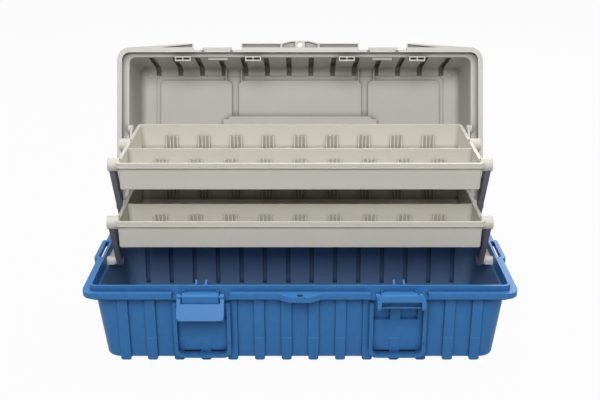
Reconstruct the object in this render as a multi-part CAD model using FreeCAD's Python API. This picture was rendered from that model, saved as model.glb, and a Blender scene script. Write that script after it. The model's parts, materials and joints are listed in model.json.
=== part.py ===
import FreeCAD, Part
import math
import os

Vector = FreeCAD.Vector

# Cantilever tool box in millimetres, drawn with the lid open and both trays swung out.
# X is the length, the front faces -Y, Z is up, and the origin is under the middle of the feet.

# Whole box
box_length = 530.0
box_depth = 240.0
flange_top = 99.0
overrun = 1.0
pin_play = 0.05
side_play = 0.3
quarter_turn = 90.0

# Base tub
base_wall = 3.2
base_floor = 3.2
foot_height = 2.5
flange_corner = 18.0
flange_height = 7.0
flange_plate = 3.0
skirt_wall = 3.0
lip_inset = 9.0
lip_wall = 3.0
lip_rise = 7.0
ledge_drop = 9.0
ledge_plate = 3.0
tub_inset_x = 11.5
tub_inset_y = 16.0
tub_taper_x = 10.5
tub_taper_y = 6.0
tub_corner = 20.0
tub_edge = 2.5
cavity_edge = 4.0
keel_width = 14.0

# Ribs of the base and the lid
rib_count = 14
rib_end_margin = 36.0
rib_width = 12.5
rib_proud = 4.0
rib_foot_bevel = 2.5
rib_foot_corner = 2.0
rib_step_height = 32.0
rib_step_proud = 0.5
groove_low = 16.0
lid_rib_proud = 5.5
lid_rib_reach = 16.4

# Latches on the front of the base
latch_spacing = 240.0
latch_notch = 70.0
latch_block_width = 44.0
latch_block_height = 13.0
latch_block_round = 3.0
latch_pivot_out = 8.5
latch_pivot_drop = 3.7
latch_block_nose = 4.0
latch_pin_radius = 2.0
latch_nub_radius = 1.5
latch_nub_height = 2.0
guard_width = 70.0
guard_wall = 4.5
guard_low = 8.0
guard_drop = 15.0
guard_proud = 13.0
guard_corner = 10.0
guard_nub_radius = 1.7
guard_nub_proud = 1.0
guard_nub_rise = 20.0
panel_low = 15.0
panel_high = 58.0
panel_proud = 4.0
fin_wall = 2.4
fin_gap = 12.0
fin_rise = 4.0
fin_reach = 12.0

# Latch levers
lever_width = 57.0
lever_length = 29.4
lever_window = 9.0
lever_hub_radius = 3.6
lever_arm_wall = 4.7
lever_panel = 3.5
lever_panel_back = 2.0
lever_cheek_depth = 12.0
lever_cheek_start = 13.0
lever_corner = 6.0
lever_bar_radius = 1.3
lever_bar_inset = 2.2
lever_bar_drop = 4.5
lever_left_tilt = 30.0
lever_right_tilt = 105.0

# Padlock eye on the front flange and strap slots on the end flanges
eye_root = 54.0
eye_width = 26.0
eye_out = 9.5
eye_corner = 9.0
eye_hole_radius = 3.8
eye_hole_out = 4.0
strap_centre_y = 22.5
strap_length = 64.0
strap_out = 4.8
strap_slot_length = 55.0
strap_slot_width = 6.6
strap_slot_inset = 7.2
strap_corner = 4.0

# Lid hinge
hinge_out = 12.0
hinge_drop = 2.0
hinge_spacing = 170.0
hinge_barrel = 5.5
hinge_pin_radius = 2.0
lid_knuckle = 24.0
base_knuckle = 14.0
knuckle_gap = 0.5
knuckle_arm = 4.5
lid_open_angle = 110.0

# Lid
lid_gap = 0.3
lid_wall = 2.4
lid_height = 97.0
lid_rim_width = 7.0
lid_rim_height = 10.7
lid_ledge = 2.5
lid_inset_x = 14.0
lid_inset_y = 10.5
lid_taper = 4.5
lid_corner = 12.0
lid_edge = 12.0
front_lip_out = 6.0
front_lip_height = 4.5
front_lip_wall = 1.5
front_lip_pocket = 2.8
front_lip_setback = 3.5
catch_width = 42.0
catch_out = 3.5
catch_height = 3.2
catch_rise = 0.5
nub_relief = 0.7
bulge_width = 29.0
bulge_reach = 3.6
bulge_height = 8.0
bulge_rise = 3.0
tab_out = 9.5
tab_boss = 14.0
panel_margin = 26.0
panel_channel = 11.0
panel_middle = 188.0
panel_outer = 109.0
panel_depth = 2.6
plateau_rise = 0.8
panel_corner = 8.0
lid_mark_radius = 4.0
lid_mark_rise = 0.6
lid_mark_x = 230.0
lid_mark_y = 92.0
lid_fin_wall = 2.0
lid_fin_reach = 22.0
lid_fin_deep = 6.0
lid_fin_low = 2.5
lid_fin_inner = 90.1
lid_fin_outer = 113.7
socket_width = 23.0
socket_rise = 1.2
socket_height = 13.0
socket_depth = 6.5
socket_wall = 1.6
socket_inner_x = 68.0
socket_outer_x = 170.0
lid_ear_radius = 6.0
lid_pivot_along = 134.0
lid_pivot_rise = 10.0
lid_pin_radius = 2.5

# Handle
recess_length = 216.0
recess_width = 50.0
recess_depth = 11.5
recess_corner = 4.0
handle_pivot_y = -17.0
handle_pivot_drop = 5.5
handle_reach = 30.0
handle_hub_radius = 5.2
handle_arm_wall = 8.0
handle_end_gap = 0.6
handle_grip_depth = 17.0
handle_grip_height = 13.0
handle_grip_rise = 1.2
handle_grip_round = 5.5
handle_pin_radius = 2.5
handle_pin_seat = 7.0
handle_boss_half = 6.5
handle_hang_angle = 20.0

# Trays
tray_clear_x = 35.0
tray_clear_y = 26.0
tray_height = 35.5
tray_wall = 2.2
tray_taper = 1.2
tray_corner = 6.0
tray_rim = 2.2
tray_rim_height = 6.5
tray_bead = 1.0
tray_bead_height = 1.8
tray_edge = 1.5
tray_divider_share = 0.37
tray_divider_drop = 1.0
comb_count = 9
comb_teeth = 4
comb_tooth_width = 1.9
comb_tooth_pitch = 5.0
comb_tooth_height = 18.0
comb_tooth_depth = 2.6
tray_pivot_back = 14.0
tray_pivot_drop = 6.0
tray_boss_radius = 6.5
hood_gap = 0.6
hood_wall = 1.3
hood_overhang = 1.5
hood_turn = 45.0

# Linkage
link_length = 78.0
link_open_angle = 60.0
link_width = 14.0
link_wall = 7.0
link_gap = 3.0
link_pin_radius = 3.0
link_head_radius = 5.0
link_head = 1.1
base_pivot_y = -4.0
base_pivot_drop = 5.0
base_pivot_spacing = 66.0
rear_pivot_spacing = 88.0
bracket_wall = 10.0
bracket_boss_radius = 5.5
bracket_bar = 4.0
lid_link_wall = 3.2
lid_link_gap = 2.9
lid_link_head = 0.9
lid_link_width = 12.0
lid_link_seat_y = 166.0
lid_link_seat_drop = 22.5
lid_link_slot = 8.0
lid_link_slot_play = 0.5

# Places that follow from the sizes above
half_length = box_length / 2
half_depth = box_depth / 2
lip_top = flange_top + lip_rise
ledge_top = flange_top - ledge_drop
ledge_low = ledge_top - ledge_plate
skirt_low = flange_top - flange_height
lip_outer_x = half_length - lip_inset
lip_outer_y = half_depth - lip_inset
lip_inner_x = lip_outer_x - lip_wall
lip_inner_y = lip_outer_y - lip_wall
tub_half_x = half_length - tub_inset_x
tub_half_y = half_depth - tub_inset_y
rib_pitch = 2 * (tub_half_x - rib_end_margin) / (rib_count - 1)
rib_places = [(step - (rib_count - 1) / 2) * rib_pitch for step in range(rib_count)]
sides = (-1, 1)
latch_places = [side * latch_spacing / 2 for side in sides]
hinge_y = half_depth + hinge_out
hinge_z = flange_top - hinge_drop
hinge_places = [step * hinge_spacing for step in (-1, 0, 1)]
latch_pivot_y = -lip_outer_y - latch_pivot_out
latch_pivot_z = flange_top - latch_pivot_drop
latch_block_front = latch_pivot_y - latch_block_nose
lid_low = flange_top + lid_gap
lid_rim_top = lid_low + lid_rim_height
lid_ledge_low = lid_rim_top - lid_ledge
lid_top = flange_top + lid_height
lid_half_x = half_length - lid_inset_x
lid_half_y = half_depth - lid_inset_y
recess_floor = lid_top - recess_depth
handle_pivot_z = lid_top - handle_pivot_drop
tray_half_x = half_length - tray_clear_x
tray_half_y = half_depth - tray_clear_y
tray_body_x = tray_half_x - tray_rim
tray_body_y = tray_half_y - tray_rim
link_rise = link_length * math.sin(math.radians(link_open_angle))
link_lean = link_length * math.cos(math.radians(link_open_angle))
base_pivot_z = flange_top - base_pivot_drop
base_front = (base_pivot_y, base_pivot_z)
base_rear = (base_pivot_y + base_pivot_spacing, base_pivot_z)
lower_front = (base_front[0] - link_lean, base_pivot_z + link_rise)
lower_middle = (base_rear[0] - link_lean, lower_front[1])
lower_rear = (lower_middle[0] + rear_pivot_spacing, lower_front[1])
lower_lid = (lower_front[0] + lid_link_seat_y, lower_front[1] - lid_link_seat_drop)
upper_front = (lower_middle[0] - link_lean, lower_front[1] + link_rise)
upper_rear = (lower_rear[0] - link_lean, upper_front[1])
link_near = tray_half_x + link_gap
link_far = link_near + link_wall
lid_link_near = link_far + lid_link_gap
lid_link_far = lid_link_near + lid_link_wall
lid_pivot = (hinge_y - lid_pivot_along, hinge_z + lid_pivot_rise)


def box(x_low, x_high, y_low, y_high, z_low, z_high):
    corner = Vector(x_low, y_low, z_low)
    return Part.makeBox(x_high - x_low, y_high - y_low, z_high - z_low, corner)


def rounded_rectangle(half_x, half_y, radius, z):
    bow = radius * (1 - math.sqrt(1 / 2))
    edges = []
    for turn in ((1, -1), (1, 1), (-1, 1), (-1, -1)):
        corner_x = turn[0] * half_x
        corner_y = turn[1] * half_y
        along_x = Vector(corner_x - turn[0] * radius, corner_y, z)
        along_y = Vector(corner_x, corner_y - turn[1] * radius, z)
        middle = Vector(corner_x - turn[0] * bow, corner_y - turn[1] * bow, z)
        first, last = (along_x, along_y) if turn[0] * turn[1] < 0 else (along_y, along_x)
        if edges:
            edges.append(Part.makeLine(edges[-1].lastVertex(True).Point, first))
        edges.append(Part.Arc(first, middle, last).toShape())
    edges.append(Part.makeLine(edges[-1].lastVertex(True).Point, edges[0].firstVertex(True).Point))
    return Part.Wire(edges)


def slab(half_x, half_y, radius, z_low, z_high):
    face = Part.Face(rounded_rectangle(half_x, half_y, radius, z_low))
    return face.extrude(Vector(0, 0, z_high - z_low))


def drafted(low, high, radius):
    wires = [rounded_rectangle(size[0], size[1], radius, size[2]) for size in (low, high)]
    return Part.makeLoft(wires, True, True)


def round_level_edges(shape, radius, z):
    level = [edge for edge in shape.Edges
             if abs(edge.BoundBox.ZMin - z) < pin_play and abs(edge.BoundBox.ZMax - z) < pin_play]
    return shape.makeFillet(radius, level)


def prism_x(points, x_low, x_high):
    loop = [Vector(x_low, y, z) for y, z in points]
    face = Part.Face(Part.makePolygon(loop + loop[:1]))
    return face.extrude(Vector(x_high - x_low, 0, 0))


def prism_z(points, z_low, z_high):
    loop = [Vector(x, y, z_low) for x, y in points]
    face = Part.Face(Part.makePolygon(loop + loop[:1]))
    return face.extrude(Vector(0, 0, z_high - z_low))


def rod(radius, x_low, x_high, place):
    return Part.makeCylinder(radius, x_high - x_low, Vector(x_low, *place), Vector(1, 0, 0))


def upright_rod(radius, x, y, z_low, z_high):
    return Part.makeCylinder(radius, z_high - z_low, Vector(x, y, z_low))


def other_side(shape):
    return shape.mirror(Vector(0, 0, 0), Vector(1, 0, 0))


def both_sides(shapes):
    return shapes + [other_side(shape) for shape in shapes]


def both_faces(points):
    return [points, [(-y, z) for y, z in points]]


def whole(shape):
    return shape.removeSplitter()


def tub_face(z):
    return tub_half_y - tub_taper_y * (ledge_top - z) / ledge_top


def tub_size(z, inset):
    depth_share = (ledge_top - z) / ledge_top
    half_x = tub_half_x - tub_taper_x * depth_share
    half_y = tub_half_y - tub_taper_y * depth_share
    return (half_x - inset, half_y - inset, z)


def base_ribs():
    high = ledge_top - ledge_plate / 2
    step_high = rib_step_height + rib_step_proud
    foot_proud = rib_proud + rib_step_proud
    outline = [(-tub_face(high) - rib_proud, high),
               (-tub_face(step_high) - rib_proud, step_high),
               (-tub_face(rib_step_height) - foot_proud, rib_step_height),
               (-tub_face(rib_foot_bevel) - foot_proud, rib_foot_bevel),
               (-tub_face(0) - foot_proud + rib_foot_bevel / 2, 0)]
    outline += [(-y, z) for y, z in reversed(outline)]
    ribs = []
    for x in rib_places:
        rib = prism_x(outline, x - rib_width / 2, x + rib_width / 2)
        corners = [edge for edge in rib.Edges
                   if edge.BoundBox.ZMax < rib_foot_bevel / 2 and edge.BoundBox.XLength < rib_width / 2]
        ribs.append(rib.makeChamfer(rib_foot_corner, corners))
    return ribs


def base_grooves():
    high = ledge_low
    half = rib_width / 2 - base_wall
    depth = rib_proud - base_wall
    outline = [(-tub_face(high) - depth, high),
               (-tub_face(groove_low) - depth, groove_low),
               (-tub_face(groove_low) + base_wall + overrun, groove_low),
               (-tub_face(high) + base_wall + overrun, high)]
    return [prism_x(face, x - half, x + half) for x in rib_places for face in both_faces(outline)]


def latch_seat(x):
    front = latch_block_front
    block = box(x - latch_block_width / 2, x + latch_block_width / 2, front, -lip_inner_y,
                flange_top - latch_block_height, flange_top)
    long_edges = [edge for edge in block.Edges
                  if edge.BoundBox.XLength > latch_block_width / 2 and edge.BoundBox.YMax < front + overrun]
    return block.makeFillet(latch_block_round, long_edges)


def latch_guard(x):
    high = flange_top - guard_drop
    tall = (high - guard_low) / 2 + guard_corner
    plates = []
    for shrink in (0, guard_wall):
        depth = tub_half_y + guard_proud
        plate = slab(guard_width / 2 - shrink, tall - shrink, guard_corner - shrink / 2, 0, depth)
        plate.rotate(Vector(0, 0, 0), Vector(1, 0, 0), quarter_turn)
        plate.translate(Vector(x, 0, guard_low + tall))
        plates.append(plate)
    limit = prism_x([(-tub_face(high) - guard_proud, high), (-tub_face(guard_low) - guard_proud, guard_low),
                     (-tub_face(guard_low) + base_wall, guard_low), (-tub_face(high) + base_wall, high)],
                    x - guard_width, x + guard_width)
    rails = plates[0].cut(plates[1]).common(limit)
    inside = guard_width / 2 - guard_wall / 2
    nubs = []
    for nub_z in (guard_low + guard_nub_rise, high - 2 * guard_nub_radius):
        nub_y = -tub_face(nub_z) - guard_proud - guard_nub_proud
        for side in sides:
            foot = Vector(x + side * inside, nub_y, nub_z)
            nubs.append(Part.makeCylinder(guard_nub_radius, 2 * guard_nub_proud, foot, Vector(0, 1, 0)))
    slope = [(-tub_face(panel_high) + base_wall / 2, panel_high + panel_proud / 2),
             (-tub_face(panel_high) - panel_proud, panel_high),
             (-tub_face(panel_low) - panel_proud, panel_low),
             (-tub_face(panel_low) + base_wall / 2, panel_low)]
    return [rails, prism_x(slope, x - inside, x + inside)] + nubs


def latch_fins(x):
    outline = [(-lip_inner_y - lip_wall / 2, ledge_low), (-lip_inner_y - lip_wall / 2, lip_top),
               (-lip_inner_y + fin_reach / 2, lip_top + fin_rise), (-lip_inner_y + fin_reach, ledge_low)]
    return [prism_x(outline, x + side * fin_gap / 2 - fin_wall / 2, x + side * fin_gap / 2 + fin_wall / 2)
            for side in sides]


def knuckle(x, width, arm_low, arm_root):
    arm = box(x - width / 2, x + width / 2, arm_root, hinge_y, arm_low, arm_low + knuckle_arm)
    return rod(hinge_barrel, x - width / 2, x + width / 2, (hinge_y, hinge_z)).fuse(arm)


def base_tub():
    shell = drafted(tub_size(foot_height, 0), tub_size(ledge_top, 0), tub_corner)
    shell = round_level_edges(shell, tub_edge, foot_height)
    band = slab(lip_outer_x, lip_outer_y, flange_corner - lip_inset, ledge_low, lip_top)
    flange = slab(half_length, half_depth, flange_corner, skirt_low, flange_top)
    inside_skirt = slab(half_length - skirt_wall, half_depth - skirt_wall, flange_corner - skirt_wall,
                        skirt_low - overrun, flange_top - flange_plate)
    flange = flange.cut(inside_skirt)
    notches = [box(x - latch_notch / 2, x + latch_notch / 2, -half_depth - overrun, -lip_outer_y,
                   skirt_low - overrun, flange_top + overrun) for x in latch_places]
    flange = flange.cut(notches)
    notch_ends = []
    for x in latch_places:
        for side in sides:
            edge_x = x + side * latch_notch / 2
            end_x = edge_x + side * skirt_wall
            notch_ends.append(box(min(edge_x, end_x), max(edge_x, end_x), -half_depth, -lip_outer_y,
                                  skirt_low, flange_top))
    eye = prism_z([(-eye_root / 2, -half_depth + skirt_wall), (-eye_root / 2, -half_depth),
                   (-eye_width / 2, -half_depth - eye_out), (eye_width / 2, -half_depth - eye_out),
                   (eye_root / 2, -half_depth), (eye_root / 2, -half_depth + skirt_wall)],
                  skirt_low, flange_top)
    tips = [edge for edge in eye.Edges if edge.BoundBox.YMax < -half_depth - eye_out / 2
            and edge.BoundBox.ZLength > flange_height / 2]
    eye = eye.makeFillet(eye_corner, tips)
    strap_half = (strap_out + lip_inset) / 2
    strap = slab(strap_half, strap_length / 2, strap_corner, skirt_low, flange_top)
    strap.translate(Vector(lip_outer_x + strap_half, strap_centre_y, 0))
    keel = box(rib_places[0], rib_places[-1], -keel_width / 2, keel_width / 2,
               0, foot_height + base_floor / 2)
    added = [band, flange, eye, keel] + both_sides([strap]) + base_ribs() + notch_ends
    added += [upright_rod(latch_nub_radius, x, y, flange_top - overrun, flange_top + latch_nub_height)
              for x, y in latch_nub_places()]
    for x in latch_places:
        added += [latch_seat(x)] + latch_guard(x)
    offset = lid_knuckle / 2 + knuckle_gap + base_knuckle / 2
    for x in hinge_places:
        added += [knuckle(x + side * offset, base_knuckle, skirt_low, half_depth - skirt_wall)
                  for side in sides]
    solid = shell.fuse(added)
    cavity = drafted(tub_size(foot_height + base_floor, base_wall), tub_size(ledge_top + overrun, base_wall),
                     tub_corner - base_wall)
    cavity = round_level_edges(cavity, cavity_edge, foot_height + base_floor)
    mouth = slab(lip_inner_x, lip_inner_y, flange_corner - lip_inset - lip_wall,
                 ledge_top, lip_top + overrun)
    slot = slab(strap_slot_width / 2, strap_slot_length / 2, strap_slot_width / 2 - pin_play,
                skirt_low - overrun, flange_top + overrun)
    slot.translate(Vector(half_length - strap_slot_inset + strap_slot_width / 2, strap_centre_y, 0))
    removed = [cavity, mouth] + both_sides([slot]) + base_grooves()
    removed.append(upright_rod(eye_hole_radius, 0, -half_depth - eye_hole_out, skirt_low - overrun,
                               flange_top + overrun))
    hinge_span = base_knuckle + knuckle_gap + lid_knuckle / 2 + overrun
    removed += [rod(hinge_pin_radius + pin_play, x - hinge_span, x + hinge_span, (hinge_y, hinge_z))
                for x in hinge_places]
    removed += [rod(latch_pin_radius + pin_play, x - latch_block_width, x + latch_block_width,
                    (latch_pivot_y, latch_pivot_z)) for x in latch_places]
    solid = solid.cut(removed)
    fins = [fin for x in latch_places for fin in latch_fins(x)]
    return whole(solid.fuse(fins))


def latch_lever(x, tilt):
    outer = lever_width / 2
    inner = outer - lever_arm_wall
    hang = Vector(x, latch_pivot_y, latch_pivot_z)
    panel = slab(outer, lever_length, lever_corner, -lever_panel + lever_panel_back, lever_panel_back)
    panel = panel.common(box(-outer, outer, -lever_length, -lever_window, -lever_length, lever_length))
    panel.rotate(Vector(0, 0, 0), Vector(1, 0, 0), quarter_turn)
    pieces = [panel]
    cheek_low = -lever_length + lever_corner / 2
    front = -lever_panel_back
    cheek = [(front, -lever_length + lever_corner), (front, 0), (lever_hub_radius, 0),
             (lever_hub_radius, -lever_cheek_start),
             (lever_cheek_depth, -lever_cheek_start - lever_corner / 2),
             (lever_cheek_depth, cheek_low), (lever_cheek_depth - lever_corner / 2, -lever_length),
             (front + lever_panel, -lever_length)]
    for side in sides:
        low = min(side * inner, side * outer)
        arm = prism_x(cheek, low, low + lever_arm_wall)
        pieces += [arm, rod(lever_hub_radius, low, low + lever_arm_wall, (0, 0))]
    bar = (lever_cheek_depth - lever_bar_inset, -lever_cheek_start - lever_bar_drop)
    pieces.append(rod(lever_bar_radius, -inner - lever_arm_wall / 2, inner + lever_arm_wall / 2, bar))
    lever = pieces[0].fuse(pieces[1:])
    lever = whole(lever.cut(rod(latch_pin_radius + pin_play, -lever_width, lever_width, (0, 0))))
    lever.rotate(Vector(0, 0, 0), Vector(-1, 0, 0), tilt)
    lever.translate(hang)
    return lever


def latch_pin(x):
    return rod(latch_pin_radius, x - lever_width / 2, x + lever_width / 2, (latch_pivot_y, latch_pivot_z))


def hinge_pins():
    half = base_knuckle + knuckle_gap + lid_knuckle / 2
    return Part.makeCompound([rod(hinge_pin_radius, x - half, x + half, (hinge_y, hinge_z))
                              for x in hinge_places])


def lid_face(z):
    return lid_half_y - lid_taper * (z - lid_rim_top) / (lid_top - lid_rim_top)


def lid_dome(inset, low, high, edge):
    shrink = inset + lid_taper * (high - lid_rim_top) / (lid_top - lid_rim_top)
    flare = inset + lid_taper * (low - lid_rim_top) / (lid_top - lid_rim_top)
    dome = drafted((lid_half_x - flare, lid_half_y - flare, low),
                   (lid_half_x - shrink, lid_half_y - shrink, high), lid_corner - inset)
    return round_level_edges(dome, edge, high)


def lid_rib_outline(proud, low, high, reach, back):
    shoulder = high - lid_edge + proud
    return [(-lid_face(low) - proud, low), (-lid_face(shoulder) - proud, shoulder),
            (-lid_face(lid_top) + lid_edge - proud, high), (-lid_face(lid_top) + reach, high),
            (-lid_face(lid_top) + reach, high - back), (-lid_face(shoulder) + back, shoulder - back),
            (-lid_face(low) + back, low)]


def lid_ribs():
    outline = lid_rib_outline(lid_rib_proud, lid_ledge_low, lid_top + lid_rib_proud, lid_rib_reach, lid_wall)
    return [prism_x(face, x - rib_width / 2, x + rib_width / 2)
            for x in rib_places for face in both_faces(outline)]


def lid_grooves():
    half = rib_width / 2 - lid_wall
    proud = lid_rib_proud - lid_wall
    outline = lid_rib_outline(proud, lid_rim_top + lid_wall, lid_top + proud, lid_rib_reach - lid_wall,
                              lid_wall + overrun + proud)
    return [prism_x(face, x - half, x + half) for x in rib_places for face in both_faces(outline)]


def front_lip():
    high = lid_low + front_lip_height
    root = -half_depth + lid_rim_width / 2
    notch_near = (latch_spacing - latch_notch) / 2
    notch_far = (latch_spacing + latch_notch) / 2
    corner = half_length - flange_corner
    out = -half_depth - front_lip_out
    tip = -half_depth - tab_out
    wing = [(-corner, root), (-corner, -half_depth), (-notch_far, out), (-notch_far, root)]
    middle = [(-notch_near, root), (-notch_near, out), (-eye_root / 2, out), (-eye_root / 2, root)]
    tab = [(-eye_root / 2, root), (-eye_root / 2, out), (-eye_width / 2, tip), (eye_width / 2, tip),
           (eye_root / 2, out), (eye_root / 2, root)]
    plates = both_sides([prism_z(points, lid_low, high) for points in (wing, middle)])
    plates.append(prism_z(tab, lid_low, high))
    wall = front_lip_wall
    taper_share = 2 * wall / front_lip_out
    wing_pocket = [(-notch_far - wall, -half_depth), (-notch_far - wall, out + wall),
                   (-corner + taper_share * (corner - notch_far), -half_depth)]
    middle_pocket = [(-notch_near + wall, -half_depth), (-notch_near + wall, out + wall),
                     (-eye_root / 2 - wall, out + wall), (-eye_root / 2 - wall, -half_depth)]
    tab_pocket = [(-eye_root / 2 + wall, -half_depth), (-eye_root / 2 + wall, out + wall),
                  (-eye_width / 2, tip + wall), (-tab_boss / 2, tip + wall), (-tab_boss / 2, -half_depth)]
    pockets = both_sides([prism_z(points, lid_low - overrun, lid_low + front_lip_pocket)
                          for points in (wing_pocket, middle_pocket, tab_pocket)])
    return plates, pockets


def catch_bulge(x):
    face = -lid_half_y + lid_wall / 2
    low = lid_ledge_low + bulge_rise
    return box(x - bulge_width / 2, x + bulge_width / 2, face, face + lid_wall / 2 + bulge_reach,
               low, low + bulge_height)


def lid_catch(x):
    low = lid_low + catch_rise
    high = low + catch_height
    root = -half_depth + lid_rim_width / 2 + overrun
    nose = -half_depth + front_lip_setback - catch_out
    hook = [(root, low), (nose, low), (nose, low + catch_height / 2),
            (nose + catch_height / 2, high), (root, high)]
    return prism_x(hook, x - catch_width / 2, x + catch_width / 2)


def latch_nub_places():
    offset = latch_block_width / 2 - latch_nub_radius
    return [(x + side * offset, -lip_outer_y - 2 * latch_nub_radius) for x in latch_places for side in sides]


def lid_panels(low, high, inset):
    half_y = lid_half_y - panel_margin - inset
    corner = panel_corner - inset
    middle = slab(panel_middle / 2 - inset, half_y, corner, low, high)
    outer = slab(panel_outer / 2 - inset, half_y, corner, low, high)
    outer.translate(Vector(panel_middle / 2 + panel_channel + panel_outer / 2, 0, 0))
    return [middle] + both_sides([outer])


def lid_plateau(low, high):
    half_x = rib_places[-1] + rib_width / 2 - lid_wall
    half_y = lid_face(lid_top) - lid_rib_reach + lid_wall
    return slab(half_x, half_y, panel_corner, low, high)


def lid_sockets():
    bodies = []
    pockets = []
    face = -lid_half_y + lid_wall
    low = lid_low + socket_rise
    for place in (socket_inner_x, socket_outer_x):
        half = socket_width / 2
        bodies.append(box(place - half, place + half, face, face + socket_depth, low, low + socket_height))
        bodies.append(box(place - half, place + half, face - lid_wall / 2, face + socket_depth,
                          lid_ledge_low, low + socket_height))
        window = half - 3 * socket_wall / 2
        for side in sides:
            middle = place + side * (socket_wall / 2 + window / 2)
            pockets.append(box(middle - window / 2, middle + window / 2, face + socket_wall,
                               face + socket_depth - socket_wall, low - overrun,
                               low + socket_height - socket_wall))
    return both_sides(bodies), both_sides(pockets)


def lid_fins():
    corner_y = -lid_face(lid_top) + lid_wall / 2
    high = lid_top - lid_wall / 2
    end_y = corner_y + lid_fin_reach
    outline = [(corner_y, high), (end_y, high), (end_y, high - lid_fin_low - lid_wall / 2),
               (corner_y, high - lid_fin_deep)]
    half = lid_fin_wall / 2
    return both_sides([prism_x(outline, x - half, x + half) for x in (lid_fin_inner, lid_fin_outer)])


def lid_shell():
    rim = slab(half_length, half_depth, flange_corner, lid_low, lid_rim_top)
    dome = lid_dome(0, lid_ledge_low, lid_top, lid_edge)
    lip_plates, lip_pockets = front_lip()
    added = [dome, lid_plateau(lid_top - overrun, lid_top + plateau_rise)] + lid_ribs() + lip_plates
    solid = rim.fuse(added)
    notches = [box(x - latch_notch / 2, x + latch_notch / 2, -half_depth - front_lip_out - overrun,
                   -half_depth + front_lip_setback, lid_low - overrun, lid_rim_top + overrun)
               for x in latch_places]
    cavity = lid_dome(lid_wall, lid_low, lid_top - lid_wall, lid_edge - lid_wall)
    pocket = slab(half_length - lid_rim_width, half_depth - lid_rim_width, flange_corner - lid_rim_width,
                  lid_low - overrun, lid_ledge_low)
    under = lid_top - lid_wall
    hollow = lid_plateau(under - overrun, under + plateau_rise)
    sunk = lid_panels(lid_top - panel_depth, lid_top + lid_rib_proud, lid_wall)
    solid = solid.cut(notches + lip_pockets + [cavity, pocket, hollow] + lid_grooves() + sunk)
    wall = recess_corner + lid_wall
    hump = slab(recess_length / 2 + lid_wall, recess_width / 2 + lid_wall, wall,
                recess_floor - lid_wall, lid_top - lid_wall / 2)
    boss = box(recess_length / 2, recess_length / 2 + lid_wall + handle_pin_seat,
               handle_pivot_y - handle_boss_half, handle_pivot_y + handle_boss_half,
               recess_floor - lid_wall, lid_top - lid_wall / 2)
    ear = rod(lid_ear_radius, lid_link_far + side_play, lid_half_x - lid_wall / 2, lid_pivot)
    socket_bodies, socket_pockets = lid_sockets()
    inner = [hump] + both_sides([boss, ear]) + socket_bodies + lid_fins()
    inner += lid_panels(under - panel_depth, under + plateau_rise, 0)
    inner += both_sides([upright_rod(lid_mark_radius, lid_mark_x, -lid_mark_y, under - lid_mark_rise,
                                     under + lid_wall / 2)])
    inner += [lid_catch(x) for x in latch_places] + [catch_bulge(x) for x in latch_places]
    for x in hinge_places:
        inner.append(knuckle(x, lid_knuckle, lid_low, half_depth - lid_rim_width / 2))
    solid = solid.fuse(inner)
    recess = slab(recess_length / 2, recess_width / 2, recess_corner, recess_floor, lid_top + lid_rib_proud)
    seat = recess_length / 2 + handle_pin_seat
    handle_bore = rod(handle_pin_radius + pin_play, -seat, seat, (handle_pivot_y, handle_pivot_z))
    ear_bore = rod(lid_pin_radius + pin_play, lid_link_near, lid_half_x - lid_wall / 2 - overrun, lid_pivot)
    eye_hole = upright_rod(eye_hole_radius, 0, -half_depth - eye_hole_out, lid_low - overrun,
                           lid_rim_top + overrun)
    bores = [rod(hinge_pin_radius + pin_play, x - lid_knuckle, x + lid_knuckle, (hinge_y, hinge_z))
             for x in hinge_places]
    bores += [upright_rod(latch_nub_radius + nub_relief, x, y, lid_low - overrun,
                          flange_top + latch_nub_height + nub_relief) for x, y in latch_nub_places()]
    solid = solid.cut([recess, handle_bore, eye_hole] + both_sides([ear_bore]) + socket_pockets + bores)
    return whole(solid)


def opened(shape):
    shape.rotate(Vector(0, hinge_y, hinge_z), Vector(1, 0, 0), -lid_open_angle)
    return shape


def lid_link_pin():
    seat = lid_link_near - side_play
    head = rod(2 * lid_pin_radius, seat - lid_link_head, seat, lid_pivot)
    shank = rod(lid_pin_radius, seat, lid_half_x - lid_wall / 2 - overrun, lid_pivot)
    return whole(head.fuse(shank))


def carry_handle():
    end = recess_length / 2 - handle_end_gap
    pivot = (handle_pivot_y, handle_pivot_z)
    grip_y = handle_pivot_y + handle_reach
    grip_z = handle_pivot_z + handle_grip_rise
    grip = box(-end, end, grip_y - handle_grip_depth / 2, grip_y + handle_grip_depth / 2,
               grip_z - handle_grip_height / 2, grip_z + handle_grip_height / 2)
    grip = grip.makeFillet(handle_grip_round, [edge for edge in grip.Edges if edge.BoundBox.XLength > end])
    pieces = [grip]
    for side in sides:
        low = min(side * end, side * (end - handle_arm_wall))
        arm = box(low, low + handle_arm_wall, handle_pivot_y, grip_y,
                  handle_pivot_z - handle_hub_radius, handle_pivot_z + handle_hub_radius)
        pieces += [arm, rod(handle_hub_radius, low, low + handle_arm_wall, pivot)]
    handle = pieces[0].fuse(pieces[1:])
    handle = whole(handle.cut(rod(handle_pin_radius + pin_play, -recess_length, recess_length, pivot)))
    handle.rotate(Vector(0, *pivot), Vector(1, 0, 0), handle_hang_angle)
    return handle


def handle_pivots():
    low = recess_length / 2 - handle_end_gap - handle_arm_wall
    high = recess_length / 2 + handle_pin_seat
    pin = rod(handle_pin_radius, low, high, (handle_pivot_y, handle_pivot_z))
    return Part.makeCompound(both_sides([pin]))


def comb(wall_y, facing, floor):
    spacing = 2 * tray_body_x / (comb_count + 1)
    back = wall_y - facing * tray_wall / 2
    front = wall_y + facing * comb_tooth_depth
    teeth = []
    for group in range(comb_count):
        middle = (group - (comb_count - 1) / 2) * spacing
        for tooth in range(comb_teeth):
            place = middle + (tooth - (comb_teeth - 1) / 2) * comb_tooth_pitch
            teeth.append(box(place - comb_tooth_width / 2, place + comb_tooth_width / 2, min(back, front),
                             max(back, front), floor - tray_wall / 2, floor + comb_tooth_height))
    return teeth


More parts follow.
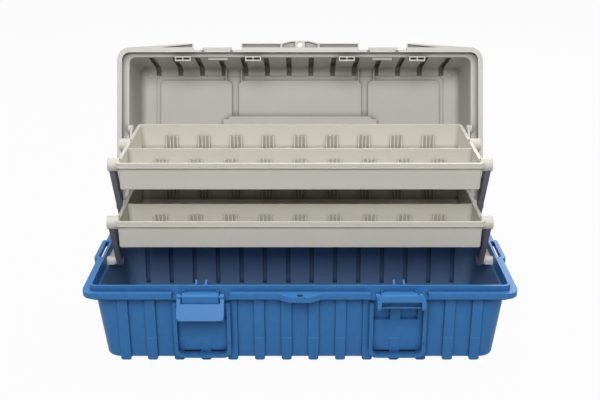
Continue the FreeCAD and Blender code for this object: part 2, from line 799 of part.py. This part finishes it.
def hood(place, near_x):
    inner = link_width / 2 + hood_gap
    outer = inner + hood_wall
    ring = rod(outer, near_x, link_far + hood_overhang, place)
    bore = rod(inner, near_x - overrun, link_far + hood_overhang + overrun, place)
    below = box(near_x - overrun, link_far + hood_overhang + overrun, place[0], place[0] + 2 * outer,
                place[1] - 2 * outer, place[1] + 2 * outer)
    below.rotate(Vector(0, *place), Vector(1, 0, 0), -hood_turn)
    return ring.cut([bore, below])


def tray(front_pivot, seats, hooded):
    rim = front_pivot[1] + tray_pivot_drop
    middle_y = front_pivot[0] - tray_pivot_back + tray_half_y
    low = rim - tray_height
    floor = low + tray_wall
    body = drafted((tray_body_x - tray_taper, tray_body_y - tray_taper, low),
                   (tray_body_x, tray_body_y, rim), tray_corner - tray_rim)
    body = round_level_edges(body, tray_edge, low)
    ring = slab(tray_half_x, tray_half_y, tray_corner, rim - tray_rim_height, rim)
    bead = slab(tray_half_x + tray_bead, tray_half_y + tray_bead, tray_corner + tray_bead,
                rim - tray_rim_height, rim - tray_rim_height + tray_bead_height)
    cavity = drafted((tray_body_x - tray_taper - tray_wall, tray_body_y - tray_taper - tray_wall, floor),
                     (tray_body_x - tray_wall, tray_body_y - tray_wall, rim + overrun),
                     tray_corner - tray_rim - tray_wall)
    divider_y = -tray_half_y + tray_divider_share * 2 * tray_half_y
    divider = box(-tray_body_x + tray_wall / 2, tray_body_x - tray_wall / 2, divider_y - tray_wall / 2,
                  divider_y + tray_wall / 2, floor - tray_wall / 2, rim - tray_divider_drop)
    inner_y = tray_body_y - tray_taper - tray_wall
    teeth = comb(-inner_y, 1, floor) + comb(divider_y - tray_wall / 2, -1, floor)
    teeth += comb(divider_y + tray_wall / 2, 1, floor) + comb(inner_y, -1, floor)
    solid = body.fuse([ring, bead]).cut(cavity).fuse([divider] + teeth)
    solid.translate(Vector(0, middle_y, 0))
    bosses = []
    bores = []
    for place, face in seats:
        wall_x = tray_body_x - tray_taper * (rim - place[1]) / tray_height
        bosses.append(rod(tray_boss_radius, wall_x - tray_wall / 2, face - side_play, place))
        bores.append(rod(link_pin_radius + pin_play, tray_body_x, face, place))
    hoods = [hood(place, tray_body_x - tray_wall / 2) for place in hooded]
    solid = solid.fuse(both_sides(bosses + hoods)).cut(both_sides(bores))
    return whole(solid)


def tray_pins(seats):
    pins = []
    for place, face in seats:
        far, cap = (link_far, link_head) if face == link_near else (lid_link_far, lid_link_head)
        shank = rod(link_pin_radius, tray_body_x + pin_play, far + side_play, place)
        head = rod(link_head_radius, far + side_play, far + side_play + cap, place)
        pins.append(whole(shank.fuse(head)))
    return Part.makeCompound(pins)


def base_pins():
    pins = []
    for place in (base_front, base_rear):
        head = rod(link_head_radius, link_near - side_play - link_head, link_near - side_play, place)
        shank = rod(link_pin_radius, link_near - side_play, lip_inner_x - side_play, place)
        pins.append(whole(head.fuse(shank)))
    return Part.makeCompound(pins)


def link_bracket():
    far = lip_inner_x
    near = far - bracket_wall
    end = bracket_boss_radius
    bar = box(near, far, base_front[0] - end, base_rear[0] + end, ledge_top, ledge_top + bracket_bar)
    pieces = []
    for place in (base_front, base_rear):
        post = box(near, far, place[0] - end, place[0] + end, ledge_top, place[1])
        pieces += [post, rod(end, link_far + side_play, far, place)]
    bores = [rod(link_pin_radius + pin_play, link_near, far + overrun, place)
             for place in (base_front, base_rear)]
    under = box(link_near, far + overrun, base_front[0] - bracket_wall, base_rear[0] + bracket_wall,
                0, ledge_top)
    return whole(bar.fuse(pieces).cut(bores + [under]))


def stadium(start, end, half_width, x_low, x_high):
    run = Vector(0, end[0] - start[0], end[1] - start[1])
    across = Vector(0, -run.z, run.y)
    across.normalize()
    along = Vector(run)
    along.normalize()
    first = Vector(x_low, *start)
    last = Vector(x_low, *end)
    edges = [Part.makeLine(first + across * half_width, last + across * half_width),
             Part.Arc(last + across * half_width, last + along * half_width,
                      last - across * half_width).toShape(),
             Part.makeLine(last - across * half_width, first - across * half_width),
             Part.Arc(first - across * half_width, first - along * half_width,
                      first + across * half_width).toShape()]
    return Part.Face(Part.Wire(edges)).extrude(Vector(x_high - x_low, 0, 0))


def swing_link(places):
    bar = stadium(places[0], places[-1], link_width / 2, link_near, link_far)
    bores = [rod(link_pin_radius + pin_play, link_near - overrun, link_far + overrun, place)
             for place in places]
    return whole(bar.cut(bores))


def lid_link():
    start = Vector(0, *lower_lid)
    turned = Part.Vertex(Vector(0, *lid_pivot))
    end = opened(turned).Point
    along = end - start
    along.normalize()
    near = end - along * (lid_link_slot + lid_link_slot_play)
    far = end + along * lid_link_slot_play
    bar = stadium((start.y, start.z), (far.y, far.z), lid_link_width / 2, lid_link_near, lid_link_far)
    bore = rod(link_pin_radius + pin_play, lid_link_near - overrun, lid_link_far + overrun, lower_lid)
    slot = stadium((near.y, near.z), (far.y, far.z), lid_pin_radius + lid_link_slot_play,
                   lid_link_near - overrun, lid_link_far + overrun)
    return whole(bar.cut([bore, slot]))


def export(name, shape):
    shape.exportStep("parts/" + name + ".step")


def export_pair(name, right):
    export(name + "_right", right)
    export(name + "_left", other_side(right))


lower_seats = [(place, link_near) for place in (lower_front, lower_middle, lower_rear)]
lower_seats.append((lower_lid, lid_link_near))
upper_seats = [(place, link_near) for place in (upper_front, upper_rear)]

os.makedirs("parts", exist_ok=True)
export("base_tub", base_tub())
export("lid_hinge_pins", hinge_pins())
export("latch_lever_left", latch_lever(latch_places[0], lever_left_tilt))
export("latch_lever_right", latch_lever(latch_places[1], lever_right_tilt))
export("latch_pin_left", latch_pin(latch_places[0]))
export("latch_pin_right", latch_pin(latch_places[1]))
export("lid_shell", opened(lid_shell()))
export("carry_handle", opened(carry_handle()))
export("handle_pivots", opened(handle_pivots()))
export_pair("lid_link_pin", opened(lid_link_pin()))
export("lower_tray", tray(lower_front, lower_seats, [lower_front]))
export("upper_tray", tray(upper_front, upper_seats, [upper_front, upper_rear]))
export_pair("lower_tray_pins", tray_pins(lower_seats))
export_pair("upper_tray_pins", tray_pins(upper_seats))
export_pair("link_bracket", link_bracket())
export_pair("base_link_pins", base_pins())
export_pair("front_link", swing_link([base_front, lower_front]))
export_pair("long_arm", swing_link([base_rear, lower_middle, upper_front]))
export_pair("rear_link", swing_link([lower_rear, upper_rear]))
export_pair("lid_link", lid_link())
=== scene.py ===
import bmesh
import bpy
import json
import math
from mathutils import Matrix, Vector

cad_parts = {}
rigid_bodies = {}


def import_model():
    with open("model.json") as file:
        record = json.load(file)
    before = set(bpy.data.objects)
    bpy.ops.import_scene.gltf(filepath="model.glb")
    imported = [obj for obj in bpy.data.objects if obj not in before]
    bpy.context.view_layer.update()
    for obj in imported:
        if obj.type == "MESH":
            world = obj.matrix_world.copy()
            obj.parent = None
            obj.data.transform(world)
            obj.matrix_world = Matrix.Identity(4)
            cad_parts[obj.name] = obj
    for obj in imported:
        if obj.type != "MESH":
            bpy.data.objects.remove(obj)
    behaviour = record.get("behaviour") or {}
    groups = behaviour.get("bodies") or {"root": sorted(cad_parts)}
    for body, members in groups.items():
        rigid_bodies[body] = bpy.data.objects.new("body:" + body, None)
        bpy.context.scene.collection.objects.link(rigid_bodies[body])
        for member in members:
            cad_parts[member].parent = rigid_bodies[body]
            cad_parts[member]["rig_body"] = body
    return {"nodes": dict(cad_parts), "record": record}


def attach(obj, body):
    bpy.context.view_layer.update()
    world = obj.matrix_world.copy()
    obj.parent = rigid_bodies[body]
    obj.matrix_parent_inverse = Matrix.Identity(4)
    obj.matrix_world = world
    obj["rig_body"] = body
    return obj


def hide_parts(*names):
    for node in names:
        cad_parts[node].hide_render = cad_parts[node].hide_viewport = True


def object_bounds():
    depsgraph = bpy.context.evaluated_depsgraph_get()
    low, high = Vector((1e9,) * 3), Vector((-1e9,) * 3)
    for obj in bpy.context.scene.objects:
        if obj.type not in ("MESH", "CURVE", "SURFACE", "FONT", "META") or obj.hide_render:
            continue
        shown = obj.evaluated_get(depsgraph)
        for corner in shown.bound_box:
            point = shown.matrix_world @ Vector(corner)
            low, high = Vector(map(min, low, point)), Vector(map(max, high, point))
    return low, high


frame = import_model()
cadBox = [list(corner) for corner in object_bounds()]
mm = 0.001
print("frame loaded:", len(frame["nodes"]), "nodes")

# Camera at the photograph's viewing angle, seen straight from the front and a little from above
cameraView = {"place": (0, -1.1963, 0.6023), "pitch": 19.59, "lens": 58.995, "sensor": 36, "clipStart": 0.01}


def setCamera(view):
    turn = (math.radians(90 - view["pitch"]), 0, 0)
    bpy.ops.object.camera_add(location=view["place"], rotation=turn)
    camera = bpy.context.object
    camera.data.sensor_width = view["sensor"]
    camera.data.sensor_fit = "HORIZONTAL"
    camera.data.lens = view["lens"]
    camera.data.clip_start = view["clipStart"]
    camera.data.dof.use_dof = False
    bpy.context.scene.camera = camera


setCamera(cameraView)

# Soft studio: a wide lamp before the front, one overhead, weak ones behind and at the sides, a pale floor
studio = {
    "lamps": {
        "keyLamp": {"place": (-0.1, -1.76, 1.48), "aim": (0, 0.05, 0.2), "size": 1.0, "power": 34},
        "topLamp": {"place": (0.1, 0, 2.5), "aim": (0, 0.05, 0.2), "size": 1.4, "power": 28},
        "backLamp": {"place": (0.5, 1.9, 1.3), "aim": (0, 0.1, 0.15), "size": 1.2, "power": 22},
        "leftLamp": {"place": (-1.9, 0.5, 0.9), "aim": (0, 0.05, 0.12), "size": 1.0, "power": 10},
        "rightLamp": {"place": (1.9, 0.4, 0.9), "aim": (0, 0.05, 0.12), "size": 1.0, "power": 10},
    },
    "sky": 0.10,  # light from all round, as a share of white
    "floor": {
        "half": 6.0,
        "tint": (0.30, 0.30, 0.31),
        "rough": 0.9,
        "gloss": 0.1,
        "seenWhite": 0.96,  # share of plain white that the camera sees in the floor
    },
}


def addLamp(name, lamp):
    bpy.ops.object.light_add(type="AREA", location=lamp["place"])
    light = bpy.context.object
    light.name = name
    light.data.size = lamp["size"]
    light.data.energy = lamp["power"]
    aim = [there - here for there, here in zip(lamp["aim"], lamp["place"])]
    flat = math.hypot(aim[0], aim[1])
    light.rotation_euler = (math.atan2(flat, -aim[2]), 0, math.atan2(-aim[0], aim[1]))


def seenDirectly(tree):  # 1 where the camera, a mirror or glass looks straight at the thing
    paths = tree.nodes.new("ShaderNodeLightPath")
    first = tree.nodes.new("ShaderNodeMath")
    first.operation = "MAXIMUM"
    second = tree.nodes.new("ShaderNodeMath")
    second.operation = "MAXIMUM"
    tree.links.new(paths.outputs["Is Camera Ray"], first.inputs[0])
    tree.links.new(paths.outputs["Is Glossy Ray"], first.inputs[1])
    tree.links.new(first.outputs[0], second.inputs[0])
    tree.links.new(paths.outputs["Is Transmission Ray"], second.inputs[1])
    return second.outputs[0]


def setSky(strength):
    world = bpy.data.worlds.new("studioSky")
    bpy.context.scene.world = world
    world.use_nodes = True
    tree = world.node_tree
    tree.nodes.clear()
    out = tree.nodes.new("ShaderNodeOutputWorld")
    seen = tree.nodes.new("ShaderNodeBackground")
    lit = tree.nodes.new("ShaderNodeBackground")
    mix = tree.nodes.new("ShaderNodeMixShader")
    seen.inputs["Color"].default_value = (1, 1, 1, 1)
    lit.inputs["Color"].default_value = (1, 1, 1, 1)
    lit.inputs["Strength"].default_value = strength
    tree.links.new(seenDirectly(tree), mix.inputs[0])
    tree.links.new(lit.outputs[0], mix.inputs[1])
    tree.links.new(seen.outputs[0], mix.inputs[2])
    tree.links.new(mix.outputs[0], out.inputs["Surface"])


def layFloor(look):
    bpy.ops.mesh.primitive_plane_add(size=2 * look["half"], location=(0, 0, cadBox[0][2]))
    floor = bpy.context.object
    floor.name = "studioFloor"
    paper = bpy.data.materials.new("palePaper")
    paper.use_nodes = True
    tree = paper.node_tree
    shader = tree.nodes["Principled BSDF"]
    shader.inputs["Base Color"].default_value = (*look["tint"], 1)
    shader.inputs["Roughness"].default_value = look["rough"]
    shader.inputs["Specular IOR Level"].default_value = look["gloss"]
    glow = tree.nodes.new("ShaderNodeEmission")
    mix = tree.nodes.new("ShaderNodeMixShader")
    share = tree.nodes.new("ShaderNodeMath")
    share.operation = "MULTIPLY"
    share.inputs[1].default_value = look["seenWhite"]
    tree.links.new(seenDirectly(tree), share.inputs[0])
    tree.links.new(share.outputs[0], mix.inputs[0])
    tree.links.new(shader.outputs[0], mix.inputs[1])
    tree.links.new(glow.outputs[0], mix.inputs[2])
    tree.links.new(mix.outputs[0], tree.nodes["Material Output"].inputs["Surface"])
    floor.data.materials.append(paper)


for name, lamp in studio["lamps"].items():
    addLamp(name, lamp)
setSky(studio["sky"])
layFloor(studio["floor"])
bpy.context.scene.view_settings.view_transform = "Standard"
print("studio ready")

# Moulded plastic: two close tints in soft clouds, a fine spark-eroded grain, faint rubbed spots,
# painted shade darkening the grooves and corners, and a grey cast painted over the base's shaded inside
# the darker tint that hollows lays in each plastic's grooves and corners is painted shade
plastics = {
    "base_blue": {
        "tint": (0.042, 0.190, 0.470), "shade": (0.038, 0.175, 0.438), "rubbed": (0.12, 0.32, 0.60),
        "creaseShadeTint": (0.018, 0.045, 0.090), "hollow": 12 * mm, "sheltered": (0.80, 0.25),
        "gloss": 0.22, "rough": (0.38, 0.50), "grain": 0.10, "grainSize": 0.5 * mm,
    },
    "lid_grey": {
        "tint": (0.600, 0.580, 0.540), "shade": (0.570, 0.550, 0.512), "rubbed": (0.70, 0.68, 0.64),
        "creaseShadeTint": (0.200, 0.195, 0.185), "hollow": 14 * mm, "sheltered": (0.90, 0.50),
        "gloss": 0.4, "rough": (0.42, 0.55), "grain": 0.10, "grainSize": 0.6 * mm,
    },
    "tray_grey": {
        "tint": (0.616, 0.592, 0.530), "shade": (0.588, 0.566, 0.506), "rubbed": (0.69, 0.665, 0.60),
        "creaseShadeTint": (0.270, 0.257, 0.226), "hollow": 7 * mm, "sheltered": (0.92, 0.25),
        "gloss": 0.4, "rough": (0.42, 0.55), "grain": 0.08, "grainSize": 0.6 * mm,
    },
    "link_grey": {
        "tint": (0.166, 0.168, 0.196), "shade": (0.152, 0.154, 0.180), "rubbed": (0.25, 0.25, 0.28),
        "creaseShadeTint": (0.040, 0.040, 0.048), "hollow": 8 * mm, "sheltered": (0.92, 0.25),
        "gloss": 0.4, "rough": (0.40, 0.52), "grain": 0.08, "grainSize": 0.5 * mm,
    },
}
surface = {
    "cloudSize": 60 * mm,
    "cloudDetail": 3,
    "scuffSize": 9 * mm,
    "scuffDetail": 6,
    "scuffRange": (-0.10, 0.16),  # a rubbed look only at the noise's brightest spots
    "grainDetail": 2,
    "grainDepth": 0.25,  # of the grain's size
    "shelterSamples": 12,
    # a grey cast painted over the base's shaded inside
    "insideShadeGrey": (0.27, 0.30, 0.34),
    "insideShadeMark": "dustShare",  # a face attribute, missing where a piece has no painted grey
}


def noise(tree, place, size, detail):
    node = tree.nodes.new("ShaderNodeTexNoise")
    node.inputs["Scale"].default_value = 1 / size
    node.inputs["Detail"].default_value = detail
    tree.links.new(place, node.inputs["Vector"])
    return node.outputs["Fac"]


def between(tree, amount, low, high):
    node = tree.nodes.new("ShaderNodeMapRange")
    node.inputs["To Min"].default_value = low
    node.inputs["To Max"].default_value = high
    tree.links.new(amount, node.inputs["Value"])
    return node.outputs["Result"]


def mixTint(tree, amount, first, second):
    node = tree.nodes.new("ShaderNodeMix")
    node.data_type = "RGBA"
    tree.links.new(amount, node.inputs["Factor"])
    sockets = [socket for socket in node.inputs if socket.type == "RGBA"]
    for socket, value in zip(sockets, (first, second)):
        if isinstance(value, tuple):
            socket.default_value = (*value, 1)
        else:
            tree.links.new(value, socket)
    return [socket for socket in node.outputs if socket.type == "RGBA"][0]


def hollows(tree, reach, sheltered):  # painted shade: 0 on open faces, 1 deep in a groove or corner, where shade falls
    shelter = tree.nodes.new("ShaderNodeAmbientOcclusion")
    shelter.samples = surface["shelterSamples"]
    shelter.only_local = True
    shelter.inputs["Distance"].default_value = reach
    fade = tree.nodes.new("ShaderNodeMapRange")
    fade.inputs["From Min"].default_value, fade.inputs["From Max"].default_value = sheltered
    tree.links.new(shelter.outputs["AO"], fade.inputs["Value"])
    return fade.outputs["Result"]


def mouldedPlastic(name, look):
    material = bpy.data.materials.new(name)
    material.use_nodes = True
    tree = material.node_tree
    shader = tree.nodes["Principled BSDF"]
    place = tree.nodes.new("ShaderNodeTexCoord").outputs["Object"]
    clouds = noise(tree, place, surface["cloudSize"], surface["cloudDetail"])
    tint = mixTint(tree, clouds, look["shade"], look["tint"])
    scuffs = noise(tree, place, surface["scuffSize"], surface["scuffDetail"])
    scuffs = between(tree, scuffs, *surface["scuffRange"])
    worn = mixTint(tree, scuffs, tint, look["rubbed"])
    mark = tree.nodes.new("ShaderNodeAttribute")
    mark.attribute_name = surface["insideShadeMark"]
    # painted shade: the base's inside greyed where the face attribute says so
    insideShaded = mixTint(tree, mark.outputs["Fac"], worn, surface["insideShadeGrey"])
    # painted shade: grooves and corners darkened towards the plastic's dark tint
    creaseShaded = mixTint(tree, hollows(tree, look["hollow"], look["sheltered"]), insideShaded, look["creaseShadeTint"])
    tree.links.new(creaseShaded, shader.inputs["Base Color"])
    grain = noise(tree, place, look["grainSize"], surface["grainDetail"])
    tree.links.new(between(tree, grain, *look["rough"]), shader.inputs["Roughness"])
    bump = tree.nodes.new("ShaderNodeBump")
    bump.inputs["Strength"].default_value = look["grain"]
    bump.inputs["Distance"].default_value = look["grainSize"] * surface["grainDepth"]
    tree.links.new(grain, bump.inputs["Height"])
    tree.links.new(bump.outputs[0], shader.inputs["Normal"])
    shader.inputs["Specular IOR Level"].default_value = look["gloss"]
    return material


# Drawn steel of the pins: fine streaks along their length
steelLook = {
    "tint": (0.56, 0.56, 0.58), "shade": (0.42, 0.42, 0.44), "rough": (0.28, 0.45),
    "streak": (0.05, 1, 1), "streakSize": 0.4 * mm, "streakDetail": 3,
}


def drawnSteel(name, look):
    material = bpy.data.materials.new(name)
    material.use_nodes = True
    tree = material.node_tree
    shader = tree.nodes["Principled BSDF"]
    place = tree.nodes.new("ShaderNodeTexCoord").outputs["Object"]
    stretch = tree.nodes.new("ShaderNodeMapping")
    stretch.inputs["Scale"].default_value = look["streak"]
    tree.links.new(place, stretch.inputs["Vector"])
    streaks = noise(tree, stretch.outputs[0], look["streakSize"], look["streakDetail"])
    tree.links.new(mixTint(tree, streaks, look["shade"], look["tint"]), shader.inputs["Base Color"])
    tree.links.new(between(tree, streaks, *look["rough"]), shader.inputs["Roughness"])
    shader.inputs["Metallic"].default_value = 1
    return material


finishes = {name: mouldedPlastic(name, look) for name, look in plastics.items()}
finishes["steel"] = drawnSteel("steel", steelLook)
print("finishes ready:", len(finishes))

# Every moulding and pin is its solid with smooth curves, and the handled ones get their edges broken
softening = {
    "broken": ("carry_handle", "upper_tray", "lower_tray", "front_link", "long_arm", "rear_link", "lid_link"),
    "width": 0.35 * mm,
    "segments": 2,
    "creaseAngle": 38,
    "narrowCorner": 42,  # edges that meet in a corner sharper than this stay as they are
    "flatAngle": 0.4,
    "smoothAngle": 32,
    "faceWeight": 80,  # how far a large flat face keeps its own shading up to its softened edge
    "mergeGap": 0.01 * mm,
}


def spareNarrowCorners(mesh, narrow):
    work = bmesh.from_edit_mesh(mesh)
    spared = set()
    for face in work.faces:
        for corner in face.loops:
            pair = (corner.edge, corner.link_loop_prev.edge)
            if corner.calc_angle() < narrow and pair[0].select and pair[1].select:
                spared.update(pair)
    for edge in spared:
        edge.select_set(False)
    bmesh.update_edit_mesh(mesh)


# The latch pins' drilling runs on into the ends of the base's flange, where blocks close it again
latchDrilling = {
    "node": "base_tub",
    "latches": (-120 * mm, 120 * mm),
    "near": 35.02 * mm,  # from a latch's middle
    "far": 46 * mm,
    "front": -119.98 * mm,  # each side lies a hair inside the flange's own face
    "back": -117.02 * mm,
    "low": 92.02 * mm,
    "high": 98.98 * mm,
}


def closeDrilling(piece, spot):
    sides = (("near", "far"), ("front", "back"), ("low", "high"))
    size = [spot[end] - spot[start] for start, end in sides]
    middle = [(spot[end] + spot[start]) / 2 for start, end in sides]
    bpy.ops.object.select_all(action="DESELECT")
    blocks = []
    for latch in spot["latches"]:
        for side in (-1, 1):
            place = (latch + side * middle[0], middle[1], middle[2])
            bpy.ops.mesh.primitive_cube_add(size=1, location=place, scale=size)
            blocks.append(bpy.context.object)
    for block in blocks:
        block.select_set(True)
    bpy.ops.object.join()
    filling = bpy.context.object
    closing = piece.modifiers.new("closeDrilling", "BOOLEAN")
    closing.operation = "UNION"
    closing.solver = "EXACT"
    closing.object = filling
    bpy.ops.object.select_all(action="DESELECT")
    piece.select_set(True)
    bpy.context.view_layer.objects.active = piece
    bpy.ops.object.modifier_apply(modifier=closing.name)
    bpy.data.objects.remove(filling)


# A grey cast of painted shade lies on the base's inner walls and floor, which lean in towards the floor
tubInside = {
    "node": "base_tub",
    "halfLength": 250.3 * mm,  # of the inside, at the ledge's height
    "halfDepth": 100.8 * mm,
    "leanX": 10.5 * mm,  # how far the walls come in from the ledge to the ground
    "leanY": 6.0 * mm,
    "floor": 5.7 * mm,
    "ledge": 90.0 * mm,
    "near": 0.2 * mm,  # a face this close to the walls belongs to them
    "groove": 6.0 * mm,  # so do the grooves behind the ribs, this far out
    "upwards": 0.7,  # a face that looks up by this much is the floor
    # share of the painted grey of shade on the inside faces
    "shadeGreyShare": 0.45,
}


def paintInsideShade(piece, tub):
    share = piece.data.attributes.new(surface["insideShadeMark"], "FLOAT", "FACE")
    for face in piece.data.polygons:
        x, y, z = face.center
        depth = (tub["ledge"] - z) / tub["ledge"]
        level = tub["floor"] - tub["near"] < z < tub["ledge"] + tub["near"]
        along = abs(x) < tub["halfLength"] - tub["leanX"] * depth + tub["near"]
        reach = tub["groove"] if face.normal.y * y < 0 else tub["near"]
        across = abs(y) < tub["halfDepth"] - tub["leanY"] * depth + reach
        inwards = face.normal.x * x < 0 or face.normal.y * y < 0 or face.normal.z > tub["upwards"]
        share.data[face.index].value = tub["shadeGreyShare"] if level and along and across and inwards else 0


def soften(node, look):
    bpy.ops.object.select_all(action="DESELECT")
    piece = node.copy()
    piece.data = node.data.copy()
    piece.name = node.name + "_moulding"
    for key in list(piece.keys()):  # the frame's own marks stay with the node
        del piece[key]
    bpy.context.scene.collection.objects.link(piece)
    piece.select_set(True)
    bpy.context.view_layer.objects.active = piece
    bpy.ops.mesh.customdata_custom_splitnormals_clear()  # the loaded normals belong to loose triangles
    bpy.ops.object.mode_set(mode="EDIT")
    bpy.ops.mesh.select_mode(type="EDGE")
    bpy.ops.mesh.select_all(action="SELECT")
    bpy.ops.mesh.remove_doubles(threshold=look["mergeGap"])
    if node.name.startswith(look["broken"]):
        bpy.ops.mesh.dissolve_limited(angle_limit=math.radians(look["flatAngle"]))
        bpy.ops.mesh.select_all(action="DESELECT")
        bpy.ops.mesh.edges_select_sharp(sharpness=math.radians(look["creaseAngle"]))
        spareNarrowCorners(piece.data, math.radians(look["narrowCorner"]))
        bpy.ops.mesh.bevel(offset=look["width"], segments=look["segments"], affect="EDGES",
                           clamp_overlap=False)
    bpy.ops.object.mode_set(mode="OBJECT")
    if node.name == latchDrilling["node"]:
        closeDrilling(piece, latchDrilling)
    if node.name == tubInside["node"]:
        paintInsideShade(piece, tubInside)
    bpy.ops.object.shade_smooth_by_angle(angle=math.radians(look["smoothAngle"]))
    facing = piece.modifiers.new("flatFaces", "WEIGHTED_NORMAL")
    facing.keep_sharp = True
    facing.weight = look["faceWeight"]
    bpy.ops.object.modifier_apply(modifier=facing.name)
    return piece


slots = {entry["node"]: entry["material_slot"] for entry in frame["record"]["subparts"]}
for name, node in frame["nodes"].items():
    body = node["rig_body"]
    piece = soften(node, softening)
    piece.data.materials.clear()
    piece.data.materials.append(finishes[slots[name]])
    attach(piece, body)
    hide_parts(name)
print("mouldings softened:", len(slots))

# Thin beads close the pads between the grooves in the lid's top, laid out for the shut lid and swung open
padBeads = {
    "pitch": 33.46 * mm,
    "pads": (-6, -5, -4, -2, -1, 0, 1, 2, 4, 5, 6),  # the lid's two channels lie between
    "length": 24.0 * mm,
    "width": 1.3 * mm,
    "height": 1.2 * mm,
    "edge": 0.35 * mm,
    "segments": 2,
    "acrossY": -91.8 * mm,
    "underTop": 193.4 * mm,
    "hinge": (0, 132 * mm, 97 * mm),
    "openAngle": -110,
}


def layBeads(name, look):
    bpy.ops.object.select_all(action="DESELECT")
    bars = []
    size = (look["length"], look["width"], look["height"])
    for pad in look["pads"]:
        place = (pad * look["pitch"], look["acrossY"], look["underTop"])
        bpy.ops.mesh.primitive_cube_add(size=1, location=place, scale=size)
        bars.append(bpy.context.object)
    for bar in bars:
        bar.select_set(True)
    bpy.ops.object.join()
    beads = bpy.context.object
    beads.name = name
    bpy.ops.object.transform_apply(location=True, rotation=True, scale=True)
    bpy.ops.object.mode_set(mode="EDIT")
    bpy.ops.mesh.select_all(action="SELECT")
    bpy.ops.mesh.bevel(offset=look["edge"], segments=look["segments"], affect="EDGES")
    bpy.ops.object.mode_set(mode="OBJECT")
    swing = Matrix.Rotation(math.radians(look["openAngle"]), 4, "X")
    toHinge = Matrix.Translation(look["hinge"])
    beads.matrix_world = toHinge @ swing @ toHinge.inverted()
    bpy.ops.object.transform_apply(location=True, rotation=True, scale=True)
    bpy.ops.object.shade_smooth_by_angle(angle=math.radians(softening["smoothAngle"]))
    return beads


beads = layBeads("lid_pad_beads", padBeads)
beads.data.materials.append(finishes["lid_grey"])
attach(beads, "lid")
print("lid beads laid:", len(padBeads["pads"]))
